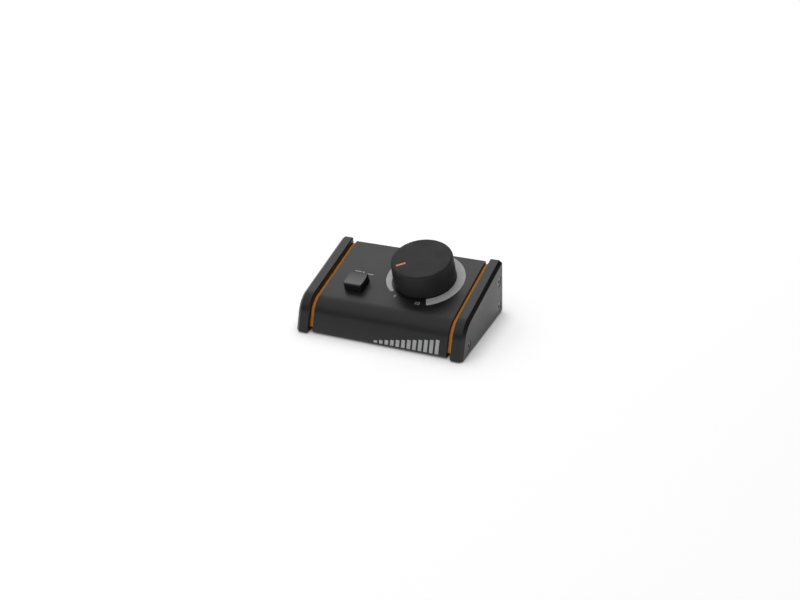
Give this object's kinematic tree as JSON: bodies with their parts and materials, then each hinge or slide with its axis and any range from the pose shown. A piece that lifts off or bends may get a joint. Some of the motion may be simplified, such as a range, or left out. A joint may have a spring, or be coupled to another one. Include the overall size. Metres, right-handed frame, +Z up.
{
  "type": "studio monitor controller",
  "caption": "Sloped metal desktop monitor controller with thick end cheeks, orange accent plates, a large volume knob, a square push button and jack sockets on the rear.",
  "frame": {"origin": "on the desk, under the middle of the object's plan", "axes": "+X to the user's right, +Y to the rear sockets, +Z up"},
  "size_m": [0.11, 0.0687, 0.0479],
  "materials": {
    "panel_paint": "satin powder coat",
    "cheek_paint": "fine textured powder coat",
    "orange_paint": "satin orange",
    "screw_black": "dark plated",
    "screw_zinc": "zinc plated",
    "steel": "satin",
    "brass": "satin",
    "knob_black": "fine matt",
    "pointer_orange": "satin",
    "button_grey": "satin",
    "black_plastic": "satin",
    "white_plastic": "satin",
    "rubber": "matt",
    "board_green": "solder mask",
    "phenolic": "matt",
    "tin": "tinned",
    "ribbon_grey": "satin"
  },
  "bodies": {
    "root": {"base_tray": "panel_paint", "board_pillars": "brass", "board_resistors": "black_plastic", "control_board": "board_green", "control_board_screws": "screw_zinc", "foot_front_left": "rubber", "foot_front_right": "rubber", "foot_rear_left": "rubber", "foot_rear_right": "rubber", "jack_body_in_left": "black_plastic", "jack_body_in_right": "black_plastic", "jack_body_out_left": "black_plastic", "jack_body_out_right": "black_plastic", "jack_contacts_in_left": "brass", "jack_contacts_in_right": "brass", "jack_contacts_out_left": "brass", "jack_contacts_out_right": "brass", "jack_nuts": "screw_zinc", "joining_strip": "steel", "jumper_cable": "ribbon_grey", "left_cheek": "cheek_paint", "left_cheek_screws": "screw_black", "left_press_nuts": "steel", "left_spacer": "orange_paint", "lip_screws": "screw_black", "lower_connector": "white_plastic", "main_board": "board_green", "main_board_screws": "screw_zinc", "mini_jack_body": "black_plastic", "mini_jack_contacts": "brass", "mini_jack_nut": "screw_zinc", "pot_bush": "brass", "pot_housing": "steel", "pot_nut": "steel", "pot_rear_cap": "steel", "pot_terminals": "tin", "pot_track_lower": "phenolic", "pot_track_upper": "phenolic", "pot_washer": "steel", "rear_lip_screws": "screw_black", "right_cheek": "cheek_paint", "right_cheek_screws": "screw_black", "right_press_nuts": "steel", "right_spacer": "orange_paint", "switch_body": "black_plastic", "switch_pins": "tin", "switch_spring": "steel", "top_cover": "panel_paint", "upper_connector": "white_plastic"},
    "knob": {"volume_knob": "knob_black", "knob_pointer": "pointer_orange", "knob_insert": "brass", "pot_shaft": "steel", "pot_rotors": "white_plastic"},
    "button": {"mono_button": "button_grey", "switch_plunger": "white_plastic"}
  },
  "joints": [
    {"name": "volume_turn", "type": "hinge", "parent": "root", "child": "knob", "pos_m": [0.014, 0.00888, 0.02797], "axis": [0, 0.2379, -0.9713], "range_deg": [0, 300]},
    {"name": "mono_press", "type": "slide", "parent": "root", "child": "button", "axis": [0, 0.2379, -0.9713], "range_m": [0, 0.0025], "stiffness_N_per_m": 500, "springref_m": -0.002, "deforming": ["switch_spring"]}
  ]
}
